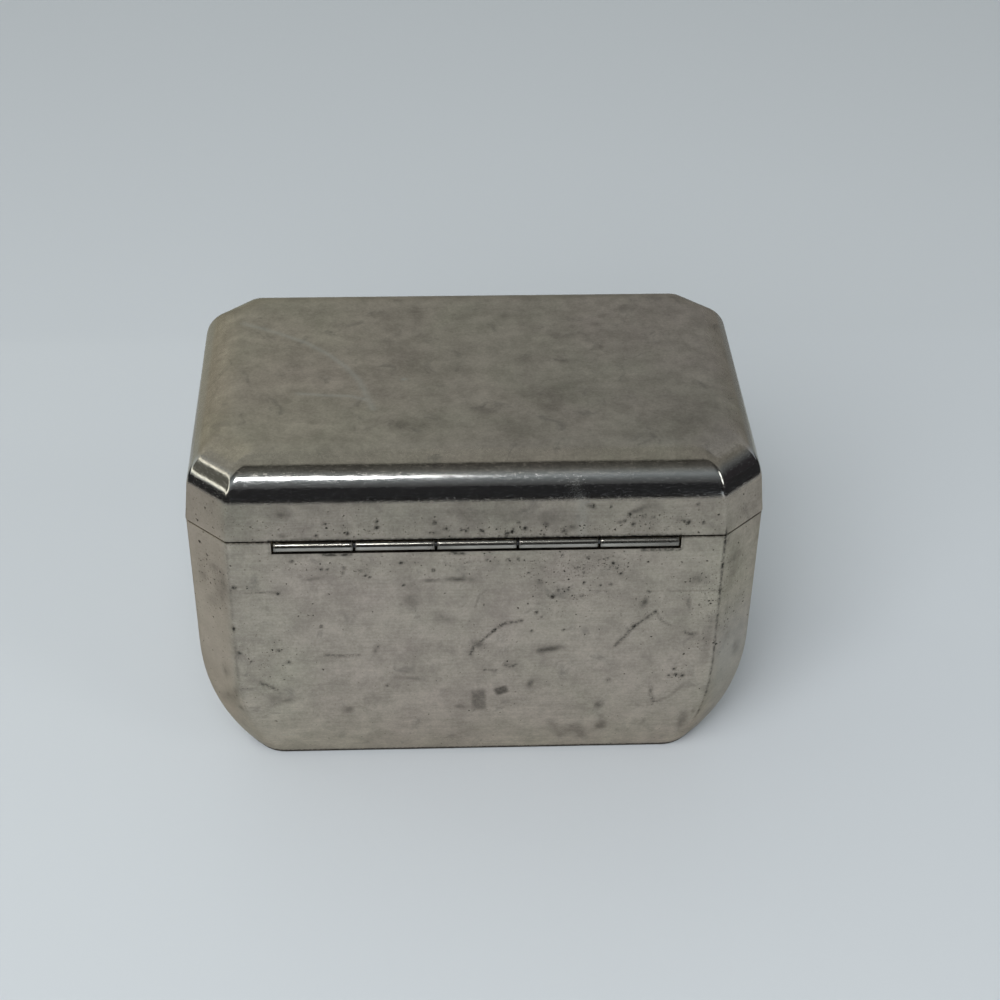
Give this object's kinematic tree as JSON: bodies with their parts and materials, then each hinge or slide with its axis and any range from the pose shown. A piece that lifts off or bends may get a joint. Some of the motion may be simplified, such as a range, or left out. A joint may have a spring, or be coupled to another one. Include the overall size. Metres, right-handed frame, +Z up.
{
  "type": "trinket box",
  "caption": "Small plated metal box with canted corners and a curved-in foot; a round-edged lid swings on a flush hinge and closes over an inner collar.",
  "frame": {"origin": "centre of the base plate's underside, where the box stands", "axes": "+X along the width, +Y to the hinge side (the front with the thumb lift is at -Y), +Z up"},
  "size_m": [0.09, 0.0632, 0.0612],
  "materials": {
    "worn_plate": "tarnished silver plate over brass, pitted and finely scratched",
    "polished_plate": "silver plate rubbed bright by handling",
    "dull_brass": "dull oxidised brass",
    "steel_wire": "drawn wire"
  },
  "bodies": {
    "body": {"body_wall": "worn_plate", "base_plate": "worn_plate", "rim_bezel": "dull_brass", "body_hinge_bearer": "dull_brass", "body_knuckle_left": "polished_plate", "body_knuckle_middle": "polished_plate", "body_knuckle_right": "polished_plate", "hinge_pin": "steel_wire"},
    "lid": {"lid_shell": "worn_plate", "lid_hinge_bearer": "dull_brass", "lid_knuckle_left": "polished_plate", "lid_knuckle_right": "polished_plate", "thumb_lift": "polished_plate"}
  },
  "joints": [
    {"name": "lid_hinge", "type": "hinge", "parent": "body", "child": "lid", "pos_m": [0, 0.0292, 0.0468], "axis": [-1, 0, 0], "range_deg": [0, 120]}
  ]
}
